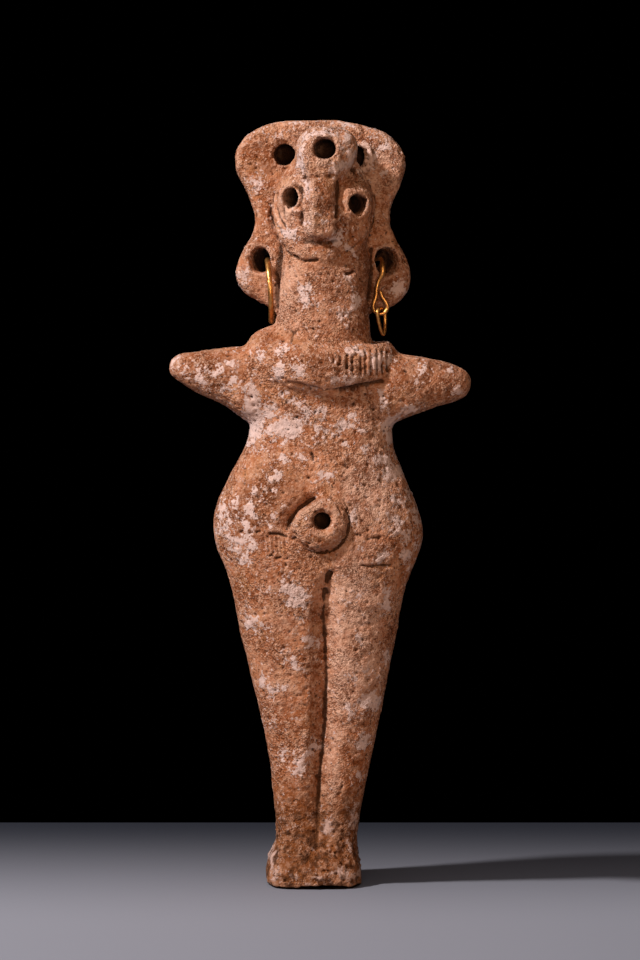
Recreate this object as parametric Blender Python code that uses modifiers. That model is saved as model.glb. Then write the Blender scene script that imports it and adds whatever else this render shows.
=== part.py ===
import math

import bmesh
import bpy
import numpy as np
from mathutils import Matrix, Vector

# A standing terracotta idol with gold earrings. Sizes are in millimetres.
# It stands on z = 0, faces -Y, and the origin is on its sole, under its middle.
MM = 0.001

# The clay body as stacked sections: height, left, right, front, back, squareness.
BODY = (
    (-3.0, -12.0, 9.5, -9.8, 9.0, 4.0),
    (2.0, -12.1, 9.2, -9.7, 9.0, 3.8),
    (5.0, -11.5, 8.6, -9.0, 8.6, 3.4),
    (8.5, -10.0, 8.3, -7.4, 7.6, 2.8),
    (12.0, -9.9, 8.6, -6.8, 7.1, 2.5),
    (20.0, -10.6, 10.0, -6.9, 7.1, 2.4),
    (32.0, -12.1, 12.4, -7.4, 7.7, 2.4),
    (44.0, -14.9, 14.7, -8.1, 8.5, 2.4),
    (56.0, -17.8, 17.1, -8.9, 9.5, 2.4),
    (68.0, -20.2, 19.5, -9.8, 10.6, 2.4),
    (78.0, -23.6, 23.0, -10.4, 11.0, 2.3),
    (84.0, -23.4, 21.8, -10.3, 10.5, 2.3),
    (91.0, -20.3, 19.0, -9.5, 9.3, 2.3),
    (98.0, -16.6, 16.4, -8.5, 8.3, 2.4),
    (103.0, -15.6, 16.0, -8.1, 7.9, 2.5),
    (110.0, -17.0, 17.2, -8.1, 7.8, 2.5),
    (116.0, -17.5, 17.0, -7.6, 7.3, 2.4),
    (119.5, -15.5, 14.5, -6.6, 6.6, 2.3),
    (121.0, -11.0, 11.5, -5.0, 5.2, 2.2),
)

# The neck, set a little to the figure's left of the middle, in the same columns.
NECK = (
    (110.0, -10.2, 11.8, -8.4, 7.8, 2.2),
    (119.0, -9.9, 11.5, -8.5, 7.6, 2.2),
    (124.0, -9.7, 11.0, -8.5, 7.4, 2.2),
    (131.0, -9.2, 10.8, -8.4, 7.2, 2.2),
    (140.0, -8.4, 10.5, -8.2, 7.0, 2.2),
    (147.0, -8.0, 10.0, -6.8, 6.8, 2.2),
)

# The arm stumps as sections along X: place, bottom, top, front, back, squareness.
LEFT_ARM = (
    (-8.0, 101.0, 120.6, -7.0, 7.0, 2.4),
    (-16.0, 103.4, 120.2, -6.9, 6.8, 2.4),
    (-22.0, 107.5, 119.8, -6.0, 6.0, 2.3),
    (-28.0, 110.3, 118.9, -4.7, 4.8, 2.2),
    (-31.6, 112.5, 118.2, -3.4, 3.5, 2.2),
    (-33.1, 113.7, 116.9, -2.0, 2.1, 2.0),
    (-33.6, 114.6, 115.8, -0.8, 0.9, 2.0),
)
RIGHT_ARM = (
    (8.0, 101.0, 119.0, -7.0, 7.0, 2.4),
    (16.0, 103.0, 118.7, -6.9, 6.8, 2.4),
    (21.0, 104.8, 118.1, -6.1, 6.2, 2.3),
    (26.0, 106.7, 117.1, -5.2, 5.3, 2.2),
    (30.6, 108.3, 115.7, -4.0, 4.2, 2.2),
    (32.8, 109.8, 114.5, -2.6, 2.8, 2.0),
    (33.6, 111.7, 113.2, -1.1, 1.2, 2.0),
)

# The pinched face in front of the head slab, and the nose ridge on it, in the body's columns.
FACE = (
    (138.2, -3.8, 5.2, -8.2, 2.0, 2.2),
    (139.6, -6.4, 7.9, -9.2, 2.0, 2.0),
    (143.0, -8.8, 10.2, -9.6, 3.0, 1.9),
    (148.0, -10.2, 11.9, -9.4, 3.0, 1.8),
    (153.0, -10.2, 12.0, -8.9, 3.0, 1.8),
    (158.0, -8.2, 9.8, -7.8, 3.0, 1.9),
    (161.5, -5.8, 8.0, -6.4, 3.0, 2.0),
)
NOSE = (
    (143.4, -1.8, 3.0, -10.4, -6.0, 2.0),
    (144.6, -3.0, 3.6, -12.2, -6.0, 1.7),
    (147.0, -3.2, 3.9, -12.7, -6.0, 1.55),
    (152.0, -3.0, 3.9, -12.1, -5.0, 1.7),
    (156.6, -2.9, 3.8, -10.8, -4.0, 2.2),
    (159.5, -3.6, 5.0, -9.6, -2.0, 2.2),
)

# The knob over the nose, wider at its foot on the left.
KNOB = (
    (156.6, -4.4, 5.6, -8.6, 0.0, 2.2),
    (159.0, -5.4, 6.8, -9.5, 0.0, 2.4),
    (162.0, -5.4, 8.0, -9.9, 0.0, 2.5),
    (165.0, -4.6, 8.1, -9.3, 0.0, 2.4),
    (167.2, -3.0, 6.6, -7.4, 0.0, 2.3),
    (168.5, -0.6, 4.4, -5.0, 0.0, 2.1),
)

# The head slab: headdress above, a pinch at the cheeks, an ear lobe at each side below.
HEAD_OUTLINE = (
    (-1.0, 170.0),
    (9.0, 169.1),
    (16.2, 166.0),
    (19.0, 161.2),
    (18.0, 156.2),
    (15.3, 148.9),
    (16.9, 143.8),
    (19.3, 139.4),
    (20.1, 135.6),
    (19.0, 131.6),
    (15.3, 128.4),
    (9.0, 127.4),
    (-8.5, 127.4),
    (-12.6, 129.6),
    (-17.2, 132.3),
    (-18.8, 136.0),
    (-17.7, 140.0),
    (-14.2, 147.4),
    (-16.0, 153.4),
    (-18.7, 160.4),
    (-17.7, 165.0),
    (-13.2, 168.6),
)
HEAD_THICKNESS = 6.6
HEAD_EDGE = 1.8
HEAD_MIDDLE = (0.0, 4.0, 146.0)
HEAD_LEAN = math.radians(-4.0)

EYE_RADII = (4.6, 1.9, 4.8)
LEFT_EYE = (-5.6, -6.9, 152.8)
LEFT_EYE_TURN = math.radians(-36.0)
RIGHT_EYE = (7.5, -7.0, 151.4)
RIGHT_EYE_TURN = math.radians(28.0)
EYE_HOLE = 2.35
EYE_DEPTH = 5.0

# The clay roll round the neck: it sags at the front, and runs up into a lump at the left.
COLLAR_MIDDLE = (0.6, -0.4, 117.9)
COLLAR_REACH = (13.6, 8.4)
COLLAR_SAG = 2.1
COLLAR_TILT = 0.4
COLLAR_THICKNESS = 3.0
COLLAR_HALF_HEIGHT = 5.1
COLLAR_END_SHRINK = 0.2
COLLAR_BACK_SHRINK = 0.3
LUMP_CENTRE = (-10.4, -0.6, 118.0)
LUMP_RADII = (6.4, 7.4, 6.6)

# The cuts across the front of the collar: how far to the right each is, and its top and bottom.
NOTCHES = (
    (0.1, 117.9, 116.6),
    (1.8, 117.9, 116.2),
    (3.0, 118.3, 117.0),
    (4.4, 118.5, 115.8),
    (5.9, 118.8, 115.4),
    (7.1, 118.7, 115.2),
    (8.9, 118.9, 114.3),
    (9.9, 119.4, 114.3),
    (11.2, 119.9, 114.1),
    (12.6, 119.6, 114.1),
    (13.8, 119.5, 114.4),
    (14.8, 119.2, 115.1),
)
NOTCH_WIDTH = 0.45
NOTCH_DEPTH = 1.4

# A drum of clay with a rounded face stands round the navel.
NAVEL_CENTRE = (0.1, -10.1, 81.6)
NAVEL_RADII = (5.6, 2.8, 5.6)
NAVEL_DRUM = ((0.1, -7.5, 81.6), (0.1, -12.1, 81.6), 7.3, 5.5)
NAVEL_HOLE_CENTRE = (0.5, 82.3)
NAVEL_HOLE = 2.15
NAVEL_DEPTH = 6.5
HOLE_TAPER = 0.82

# Pressed lines, as tubes: x, y, height and radius. A broad valley and a line in it run from the fork
# to the instep.
LEG_VALLEY = (
    (2.4, -15.0, 72.4, 4.6),
    (1.8, -14.0, 68.0, 5.0),
    (1.3, -13.0, 62.0, 5.2),
    (0.9, -12.3, 52.0, 5.2),
    (1.1, -11.5, 40.0, 5.2),
    (0.6, -10.9, 29.0, 5.2),
    (-0.5, -10.5, 18.0, 5.0),
    (-0.7, -11.7, 10.4, 4.3),
)
LEG_LINE = (
    (2.5, -10.2, 71.6, 0.3),
    (2.1, -9.7, 69.6, 0.9),
    (1.5, -8.8, 67.0, 1.1),
    (1.3, -8.1, 62.0, 0.8),
    (0.9, -7.3, 52.0, 0.7),
    (1.1, -6.5, 40.0, 0.6),
    (0.6, -5.9, 29.0, 0.5),
    (-0.5, -5.7, 18.0, 0.4),
    (-0.7, -7.3, 10.8, 0.2),
)
NAVEL_TRENCH = (
    (2.0, -10.4, 87.9, 0.3),
    (-0.3, -10.3, 87.7, 0.5),
    (-1.8, -10.2, 87.1, 0.7),
    (-3.2, -10.1, 86.2, 0.8),
    (-5.0, -10.0, 84.7, 0.9),
    (-6.5, -9.9, 82.5, 0.9),
    (-7.2, -10.1, 80.6, 0.6),
    (-7.5, -10.2, 79.0, 0.3),
)
NAVEL_CREASE = (
    (4.3, -10.5, 87.5, 0.3),
    (5.8, -10.5, 85.4, 0.4),
    (6.6, -10.5, 82.2, 0.45),
    (5.85, -10.7, 78.6, 0.45),
    (4.05, -10.8, 76.25, 0.4),
    (1.85, -10.8, 75.05, 0.35),
    (-1.4, -10.8, 75.0, 0.2),
)
NOSE_CREASE = (
    (4.3, -8.6, 156.6, 0.3),
    (4.2, -9.2, 154.0, 0.7),
    (4.1, -9.6, 150.6, 0.7),
    (4.0, -9.8, 147.8, 0.3),
)
LEFT_EAR_CREASE = (
    (-9.4, -1.4, 139.2, 0.4),
    (-9.6, -1.6, 136.0, 0.9),
    (-9.9, -1.6, 132.0, 0.9),
    (-10.2, -1.5, 128.6, 0.5),
)
RIGHT_EAR_CREASE = (
    (11.4, -1.4, 140.6, 0.4),
    (11.5, -1.5, 136.0, 1.0),
    (11.4, -1.5, 131.6, 0.9),
    (11.3, -1.4, 128.4, 0.5),
)

# Punched holes: start, end, radius at each, and how much taller than wide they are. The headdress
# holes stop short of the back; the ear holes go through, slanting in and narrowing towards the back.
PUNCHES = {
    "headdress_left": ((-8.1, -2.0, 162.3), (-7.6, 6.6, 162.5), 2.8, 2.1, 1.0),
    "headdress_right": ((7.9, -3.0, 161.8), (7.7, 6.6, 162.0), 2.9, 2.1, 1.05),
    "ear_left": ((-13.9, -1.5, 139.3), (-10.3, 9.5, 138.7), 2.55, 1.05, 1.3),
    "ear_right": ((15.6, -1.5, 139.0), (10.3, 9.5, 138.8), 2.9, 0.9, 1.2),
    "knob": ((0.9, -12.0, 163.4), (1.4, -3.0, 163.2), 2.6, 2.1, 0.9),
}

# The level sole, and the shallow hollow under its front edge.
GROUND_SIZE = (60.0, 60.0, 20.0)
SOLE_HOLLOW_CENTRE = (0.8, -10.0, 0.0)
SOLE_HOLLOW_RADII = (5.6, 4.2, 0.75)

# What the voxel skin that fuses the clay is made with.
CLAY_VOXEL = 0.6
CLAY_SMOOTHING = 3
CLAY_KEEP = 0.046

HOOP_CENTRE = (-11.25, 3.8, 132.4)
HOOP_RADIUS = 6.9
HOOP_WIRE = 0.47
HOOP_LEAN = 0.45
HOOP_TURN = 0.4
HOOP_BOW = 0.35
HOOP_GAP = math.radians(7.0)
HOOP_STEPS = 44

# The hook of the right earring, from its tail behind the lobe, through the ear, to its open eye.
HOOK = (
    (11.2, 8.2, 133.6, 0.26),
    (11.1, 8.6, 136.4, 0.32),
    (11.5, 8.0, 138.7, 0.33),
    (12.3, 5.0, 139.3, 0.33),
    (13.0, 2.2, 139.4, 0.33),
    (13.5, -0.6, 139.4, 0.33),
    (13.8, -2.2, 138.0, 0.42),
    (13.7, -2.3, 136.1, 0.56),
    (12.9, -2.2, 134.6, 0.36),
    (12.5, -2.2, 133.0, 0.32),
    (12.4, -2.2, 131.4, 0.34),
    (11.9, -2.2, 129.8, 0.37),
    (11.75, -2.2, 128.8, 0.36),
    (12.4, -2.2, 127.6, 0.33),
    (13.4, -2.2, 127.4, 0.33),
    (14.3, -2.2, 127.7, 0.33),
    (14.9, -2.2, 128.8, 0.36),
    (14.5, -2.2, 130.0, 0.35),
    (13.7, -2.2, 131.2, 0.33),
    (13.35, -2.2, 132.4, 0.28),
)

# The long link that hangs in the hook's eye, in the same columns, as a closed round.
LINK = (
    (13.45, -2.2, 128.7, 0.28),
    (12.75, -3.3, 128.1, 0.42),
    (12.7, -3.45, 127.2, 0.34),
    (13.0, -3.0, 125.4, 0.3),
    (13.45, -2.6, 123.8, 0.3),
    (13.95, -2.2, 122.8, 0.34),
    (14.3, -1.7, 123.8, 0.3),
    (14.4, -1.2, 125.4, 0.3),
    (14.35, -0.95, 127.2, 0.34),
    (14.2, -1.1, 128.1, 0.42),
)


def new_collection(name):
    collection = bpy.data.collections.new(name)
    bpy.context.scene.collection.children.link(collection)
    return collection


def new_material(name, colour, roughness, metallic):
    material = bpy.data.materials.new(name)
    material.use_nodes = True
    shader = material.node_tree.nodes["Principled BSDF"]
    shader.inputs["Base Color"].default_value = (*colour, 1.0)
    shader.inputs["Roughness"].default_value = roughness
    shader.inputs["Metallic"].default_value = metallic
    return material


def new_object(name, data, collection):
    item = bpy.data.objects.new(name, data)
    collection.objects.link(item)
    return item


def make_cutter(name, shape, cutters):
    mesh = bpy.data.meshes.new(name)
    bmesh.ops.recalc_face_normals(shape, faces=shape.faces)
    shape.to_mesh(mesh)
    shape.free()
    cutter = new_object(name, mesh, cutters)
    cutter.hide_render = True
    cutter.display_type = "WIRE"
    return cutter


def eased(rows, steps):
    # Fills in rows between the given ones, each column following a smooth curve.
    rows = np.array(rows)
    places = rows[:, 0]
    slopes = np.gradient(rows, places, axis=0)
    filled = []
    for k in range(len(rows) - 1):
        span = places[k + 1] - places[k]
        for t in np.arange(steps) / steps:
            start = (1 + 2 * t) * (1 - t) ** 2
            finish = t * t * (3 - 2 * t)
            bend = slopes[k] * t * (1 - t) ** 2 - slopes[k + 1] * t * t * (1 - t)
            filled.append(rows[k] * start + rows[k + 1] * finish + bend * span)
    filled.append(rows[-1])
    return filled


def squared(value, squareness):
    return math.copysign(abs(value) ** (2 / squareness), value)


def add_loft(shape, rows, along_x=False, sides=48, steps=4):
    # A closed skin through superellipse sections, stacked along Z or along X.
    rings = []
    for place, low, high, front, back, squareness in eased(rows, steps):
        ring = []
        for k in range(sides):
            turn = 2 * math.pi * k / sides
            across = (low + high) / 2 + (high - low) / 2 * squared(math.cos(turn), squareness)
            deep = (front + back) / 2 + (back - front) / 2 * squared(math.sin(turn), squareness)
            point = (place, deep, across) if along_x else (across, deep, place)
            ring.append(shape.verts.new(Vector(point) * MM))
        rings.append(ring)
    for lower, upper in zip(rings, rings[1:]):
        for k in range(sides):
            shape.faces.new((lower[k - 1], lower[k], upper[k], upper[k - 1]))
    shape.faces.new(rings[0])
    shape.faces.new(rings[-1])


def add_ball(shape, centre, radii, turn=0.0):
    place = Matrix.Translation(Vector(centre) * MM)
    stretch = Matrix.Diagonal((*(Vector(radii) * MM), 1.0))
    form = place @ Matrix.Rotation(turn, 4, "Z") @ stretch
    bmesh.ops.create_uvsphere(shape, u_segments=32, v_segments=20, radius=1.0, matrix=form)


def add_head_slab(shape):
    curve = bpy.data.curves.new("head_outline", "CURVE")
    curve.dimensions = "2D"
    curve.fill_mode = "BOTH"
    curve.resolution_u = 6
    curve.extrude = (HEAD_THICKNESS / 2 - HEAD_EDGE) * MM
    curve.bevel_depth = HEAD_EDGE * MM
    curve.bevel_resolution = 3
    curve.offset = -HEAD_EDGE * MM
    spline = curve.splines.new("BEZIER")
    spline.bezier_points.add(len(HEAD_OUTLINE) - 1)
    for point, (x, height) in zip(spline.bezier_points, HEAD_OUTLINE):
        point.co = (x * MM, height * MM, 0.0)
        point.handle_left_type = "AUTO"
        point.handle_right_type = "AUTO"
    spline.use_cyclic_u = True
    outline = new_object("head_outline", curve, bpy.context.scene.collection)
    mesh = welded_mesh(outline)
    middle = Vector(HEAD_MIDDLE) * MM
    upright = Matrix.Translation((0.0, 0.0, -middle.z)) @ Matrix.Rotation(math.radians(90.0), 4, "X")
    mesh.transform(Matrix.Translation(middle) @ Matrix.Rotation(HEAD_LEAN, 4, "X") @ upright)
    shape.from_mesh(mesh)
    bpy.data.meshes.remove(mesh)


def welded_mesh(curve_object):
    # The curve's own mesh with its caps welded on; the curve is removed.
    depsgraph = bpy.context.evaluated_depsgraph_get()
    mesh = bpy.data.meshes.new_from_object(curve_object.evaluated_get(depsgraph))
    mesh.transform(curve_object.matrix_world)
    bpy.data.objects.remove(curve_object)
    shape = bmesh.new()
    shape.from_mesh(mesh)
    bmesh.ops.remove_doubles(shape, verts=shape.verts, dist=0.01 * MM)
    bmesh.ops.recalc_face_normals(shape, faces=shape.faces)
    shape.to_mesh(mesh)
    shape.free()
    return mesh


def collar_point(turn, thickness, rise):
    # A point of the collar: turn runs round the neck from the right, then out and up from its core.
    right, back = math.cos(turn), math.sin(turn)
    height = COLLAR_MIDDLE[2] - COLLAR_TILT * right + COLLAR_SAG * min(back, 0.0)
    narrow = 1.0 - COLLAR_END_SHRINK * right * right - COLLAR_BACK_SHRINK * max(back, 0.0)
    reach_x = COLLAR_REACH[0] + thickness * COLLAR_THICKNESS
    reach_y = COLLAR_REACH[1] + thickness * COLLAR_THICKNESS
    return Vector((
        COLLAR_MIDDLE[0] + reach_x * right,
        COLLAR_MIDDLE[1] + reach_y * back,
        height + rise * COLLAR_HALF_HEIGHT * narrow,
    )) * MM


def add_collar(shape):
    # A torus of radius 1 and a known tube, each of whose points is carried to the collar's own form.
    tube = 0.25
    bpy.ops.mesh.primitive_torus_add(
        major_segments=72, minor_segments=20, major_radius=1.0, minor_radius=tube
    )
    torus = bpy.context.object
    for vertex in torus.data.vertices:
        x, y, z = vertex.co
        vertex.co = collar_point(math.atan2(y, x), (math.hypot(x, y) - 1.0) / tube, z / tube)
    shape.from_mesh(torus.data)
    bpy.data.objects.remove(torus)


def add_drum(shape, start, end, start_radius, end_radius, tall=1.0, segments=20):
    # A round or oval drum from start to end, which may taper.
    start, end = Vector(start) * MM, Vector(end) * MM
    axis = end - start
    place = Matrix.Translation((start + end) / 2)
    stretch = Matrix.Diagonal((1.0, 1.0, tall, 1.0))
    aim = axis.to_track_quat("Z", "X").to_matrix().to_4x4()
    bmesh.ops.create_cone(
        shape, cap_ends=True, segments=segments, radius1=start_radius * MM, radius2=end_radius * MM,
        depth=axis.length, matrix=place @ stretch @ aim,
    )


def make_bore(name, start, end, start_radius, end_radius, tall, cutters):
    shape = bmesh.new()
    add_drum(shape, start, end, start_radius, end_radius, tall)
    return make_cutter(name, shape, cutters)


def make_bores(cutters):
    for name, punch in PUNCHES.items():
        make_bore(f"hole_{name}", *punch, cutters)
    for name, eye, turn in (("left", LEFT_EYE, LEFT_EYE_TURN), ("right", RIGHT_EYE, RIGHT_EYE_TURN)):
        outward = Vector((math.sin(turn), -math.cos(turn), 0.0))
        outer = Vector(eye) + outward * EYE_RADII[1] * 2.0
        inner = Vector(eye) - outward * EYE_DEPTH
        make_bore(f"hole_eye_{name}", outer, inner, EYE_HOLE, EYE_HOLE * HOLE_TAPER, 1.0, cutters)
    x, height = NAVEL_HOLE_CENTRE
    front = NAVEL_CENTRE[1] - NAVEL_RADII[1]
    outer, inner = (x, front - 1.0, height), (x, front + NAVEL_DEPTH, height)
    make_bore("hole_navel", outer, inner, NAVEL_HOLE, NAVEL_HOLE * HOLE_TAPER, 1.0, cutters)


def make_notches(cutters):
    # The cuts across the front of the collar, each turned to face out from it.
    reach = COLLAR_REACH[0] + COLLAR_THICKNESS
    for k, (x, top, bottom) in enumerate(NOTCHES):
        turn = -math.acos((x - COLLAR_MIDDLE[0]) / reach)
        middle = collar_point(turn, 1.0, 0.0)
        middle.z = (top + bottom) / 2 * MM
        size = Matrix.Diagonal((NOTCH_WIDTH * MM, NOTCH_DEPTH * MM, (top - bottom) * MM, 1.0))
        facing = Matrix.Rotation(turn + math.pi / 2, 4, "Z")
        shape = bmesh.new()
        bmesh.ops.create_cube(shape, size=1.0, matrix=Matrix.Translation(middle) @ facing @ size)
        make_cutter(f"collar_notch_{k + 1}", shape, cutters)


def make_ground(cutters):
    block = bmesh.new()
    size = Matrix.Diagonal((*(Vector(GROUND_SIZE) * MM), 1.0))
    below = Matrix.Translation((0.0, 0.0, -GROUND_SIZE[2] / 2 * MM))
    bmesh.ops.create_cube(block, size=1.0, matrix=below @ size)
    make_cutter("ground", block, cutters)
    hollow = bmesh.new()
    add_ball(hollow, SOLE_HOLLOW_CENTRE, SOLE_HOLLOW_RADII)
    make_cutter("sole_hollow", hollow, cutters)


def make_creases(cutters):
    # The grooves that are pressed before the skin is smoothed.
    grooves = {
        "leg_valley": LEG_VALLEY,
        "leg_line": LEG_LINE,
        "navel_trench": NAVEL_TRENCH,
        "navel_crease": NAVEL_CREASE,
        "nose_crease": NOSE_CREASE,
        "left_ear_crease": LEFT_EAR_CREASE,
        "right_ear_crease": RIGHT_EAR_CREASE,
    }
    for name, points in grooves.items():
        shape = bmesh.new()
        mesh = tube_mesh(name, bent(points, closed=False), closed=False)
        shape.from_mesh(mesh)
        bpy.data.meshes.remove(mesh)
        make_cutter(name, shape, cutters)


def add_modifiers(item, soft_cutters, hard_cutters):
    fuse = item.modifiers.new("Fuse clay", "REMESH")
    fuse.mode = "VOXEL"
    fuse.voxel_size = CLAY_VOXEL * MM
    for cutter in soft_cutters.objects:
        press = item.modifiers.new(f"Press {cutter.name}", "BOOLEAN")
        press.operation = "DIFFERENCE"
        press.object = cutter
    soften = item.modifiers.new("Soften creases", "REMESH")
    soften.mode = "VOXEL"
    soften.voxel_size = CLAY_VOXEL * MM
    smooth = item.modifiers.new("Smooth clay", "SMOOTH")
    smooth.factor = 0.5
    smooth.iterations = CLAY_SMOOTHING
    thin = item.modifiers.new("Thin out", "DECIMATE")
    thin.ratio = CLAY_KEEP
    for cutter in hard_cutters.objects:
        cut = item.modifiers.new(f"Cut {cutter.name}", "BOOLEAN")
        cut.operation = "DIFFERENCE"
        cut.object = cutter


def make_idol(parts, material):
    shape = bmesh.new()
    add_loft(shape, BODY)
    add_loft(shape, NECK)
    add_loft(shape, LEFT_ARM, along_x=True)
    add_loft(shape, RIGHT_ARM, along_x=True)
    add_loft(shape, FACE)
    add_loft(shape, NOSE, sides=24)
    add_loft(shape, KNOB)
    add_ball(shape, LUMP_CENTRE, LUMP_RADII)
    add_ball(shape, LEFT_EYE, EYE_RADII, LEFT_EYE_TURN)
    add_ball(shape, RIGHT_EYE, EYE_RADII, RIGHT_EYE_TURN)
    add_ball(shape, NAVEL_CENTRE, NAVEL_RADII)
    add_drum(shape, *NAVEL_DRUM, segments=48)
    add_head_slab(shape)
    add_collar(shape)
    bmesh.ops.recalc_face_normals(shape, faces=shape.faces)
    mesh = bpy.data.meshes.new("idol")
    shape.to_mesh(mesh)
    shape.free()
    mesh.materials.append(material)
    idol = new_object("idol", mesh, parts)

    soft_cutters = new_collection("creases")
    make_creases(soft_cutters)
    hard_cutters = new_collection("cutters")
    make_bores(hard_cutters)
    make_notches(hard_cutters)
    make_ground(hard_cutters)
    add_modifiers(idol, soft_cutters, hard_cutters)
    return idol


def tube_mesh(name, points, closed):
    # A round tube through points given as x, y, height and radius.
    curve = bpy.data.curves.new(name, "CURVE")
    curve.dimensions = "3D"
    curve.bevel_depth = MM
    curve.bevel_resolution = 2
    curve.use_fill_caps = not closed
    spline = curve.splines.new("POLY")
    spline.points.add(len(points) - 1)
    for point, (x, y, height, radius) in zip(spline.points, points):
        point.co = (x * MM, y * MM, height * MM, 1.0)
        point.radius = radius
    spline.use_cyclic_u = closed
    return welded_mesh(new_object(name, curve, bpy.context.scene.collection))


def make_wire(name, points, parts, material, closed):
    mesh = tube_mesh(name, points, closed)
    mesh.shade_smooth()
    mesh.materials.clear()
    mesh.materials.append(material)
    return new_object(name, mesh, parts)


def bent(points, closed, steps=3):
    # More points between the given ones, on a Catmull-Rom curve.
    points = np.array(points)
    count = len(points)
    bends = []
    for k in range(count if closed else count - 1):
        if closed:
            before, start, end, after = (points[(k + shift) % count] for shift in (-1, 0, 1, 2))
        else:
            before, start, end, after = (points[min(max(k + shift, 0), count - 1)] for shift in (-1, 0, 1, 2))
        for t in np.arange(steps) / steps:
            bends.append(0.5 * (
                2 * start + (end - before) * t
                + (2 * before - 5 * start + 4 * end - after) * t ** 2
                + (3 * start - before - 3 * end + after) * t ** 3
            ))
    if not closed:
        bends.append(points[-1])
    return bends


def make_hoop(parts, material):
    # A plain round hoop whose ends almost meet behind the lobe.
    points = []
    for k in range(HOOP_STEPS + 1):
        turn = HOOP_GAP / 2 + (2 * math.pi - HOOP_GAP) * k / HOOP_STEPS
        back, up = math.cos(turn), math.sin(turn)
        x = HOOP_CENTRE[0] - HOOP_LEAN * up + HOOP_TURN * max(back, 0.0) + HOOP_BOW * (1 - up ** 2)
        points.append((x, HOOP_CENTRE[1] + HOOP_RADIUS * back, HOOP_CENTRE[2] + HOOP_RADIUS * up, HOOP_WIRE))
    return make_wire("left_earring", points, parts, material, closed=False)


def main():
    for item in list(bpy.data.objects):
        bpy.data.objects.remove(item)
    parts = new_collection("terracotta idol")
    clay = new_material("fired clay", (0.42, 0.19, 0.1), 0.9, 0.0)
    gold = new_material("gold", (0.86, 0.52, 0.16), 0.28, 1.0)
    make_idol(parts, clay)
    make_hoop(parts, gold)
    make_wire("right_earring", bent(HOOK, closed=False), parts, gold, closed=False)
    make_wire("right_earring_drop", bent(LINK, closed=True), parts, gold, closed=True)


main()
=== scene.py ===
import math
import random

import bmesh
import bpy
import numpy as np
from mathutils import Matrix, Vector, kdtree, noise


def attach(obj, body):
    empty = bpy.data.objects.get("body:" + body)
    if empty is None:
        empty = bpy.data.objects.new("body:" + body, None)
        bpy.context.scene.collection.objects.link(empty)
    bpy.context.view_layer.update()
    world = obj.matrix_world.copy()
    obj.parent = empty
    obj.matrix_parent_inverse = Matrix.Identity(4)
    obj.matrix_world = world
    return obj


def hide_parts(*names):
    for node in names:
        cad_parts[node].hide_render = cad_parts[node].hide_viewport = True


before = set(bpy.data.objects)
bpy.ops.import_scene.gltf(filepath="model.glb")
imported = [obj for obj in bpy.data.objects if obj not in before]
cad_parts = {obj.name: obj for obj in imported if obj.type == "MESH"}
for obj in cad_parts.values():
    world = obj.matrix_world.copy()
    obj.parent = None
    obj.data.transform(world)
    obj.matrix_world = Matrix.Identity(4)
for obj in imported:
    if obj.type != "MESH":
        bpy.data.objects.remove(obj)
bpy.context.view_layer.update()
scene = bpy.context.scene
mm = 0.001
print("frame loaded:", sorted(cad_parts))


def addObject(name, data):
    item = bpy.data.objects.new(name, data)
    scene.collection.objects.link(item)
    return item


def makeMesh(name, shape):
    mesh = bpy.data.meshes.new(name)
    shape.to_mesh(mesh)
    shape.free()
    return mesh


def takeNode(node, name):
    # a merged copy of a CAD node, so that the node's own mesh stays as it is
    shape = bmesh.new()
    shape.from_mesh(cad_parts[node].data)
    bmesh.ops.remove_doubles(shape, verts=shape.verts, dist=0.02 * mm)
    return addObject(name, makeMesh(name, shape))


def settle(piece):
    # the piece's modifiers become its mesh
    graph = bpy.context.evaluated_depsgraph_get()
    mesh = bpy.data.meshes.new_from_object(piece.evaluated_get(graph))
    piece.modifiers.clear()
    piece.data = mesh
    return mesh


def inOrder(mesh):
    # a copy with its points and faces sorted, since a boolean returns them in any order
    places = [vertex.co.to_tuple() for vertex in mesh.vertices]
    order = sorted(range(len(places)), key=places.__getitem__)
    rank = {old: new for new, old in enumerate(order)}
    faces = []
    for face in mesh.polygons:
        corners = [rank[index] for index in face.vertices]
        first = corners.index(min(corners))
        faces.append(corners[first:] + corners[:first])
    copy = bpy.data.meshes.new(mesh.name)
    copy.from_pydata([places[index] for index in order], [], sorted(faces))
    return copy


def readArray(items, field, kind=float, width=3):
    values = np.zeros(len(items) * width, kind)
    items.foreach_get(field, values)
    return values.reshape(-1, width)


def readPoints(mesh):
    return readArray(mesh.vertices, "co") / mm


def writePoints(mesh, points):
    mesh.vertices.foreach_set("co", (points * mm).ravel())
    mesh.update()


def readNormals(mesh):
    return readArray(mesh.vertex_normals, "vector")


def relax(values, edges, rounds, share):
    # each value moves by its share of the way to the mean of its neighbours
    count = np.maximum(np.bincount(edges.ravel(), minlength=len(values)), 1)
    values = values.copy()
    for turn in range(rounds):
        for axis in range(values.shape[1]):
            column = values[:, axis]
            total = np.bincount(edges[:, 0], column[edges[:, 1]], len(values))
            total += np.bincount(edges[:, 1], column[edges[:, 0]], len(values))
            values[:, axis] += share * (total / count - column)
    return values


def fade(value, low, high):
    # 0 below low, 1 above high, smooth between them; low may be the greater
    t = np.clip((value - low) / (high - low), 0, 1)
    return t * t * (3 - 2 * t)


def between(value, low, high):
    return (value > low) & (value < high)


def inBox(points, box):
    x, y, z = points.T
    return between(x, *box["across"]) & between(z, *box["up"]) & (y < box["ahead"])


def hump(value, middle, width):
    return np.exp(-(((value - middle) / width) ** 2))


def grainAt(points, size, octaves, seed):
    # fractal noise of about -1 to 1 with features of that size
    shift = Vector((seed * 17.3, seed * 5.1, seed * 9.7))
    values = [noise.fractal(Vector(p) / size + shift, 1.0, 2.1, octaves) for p in points]
    return np.array(values)


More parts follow.
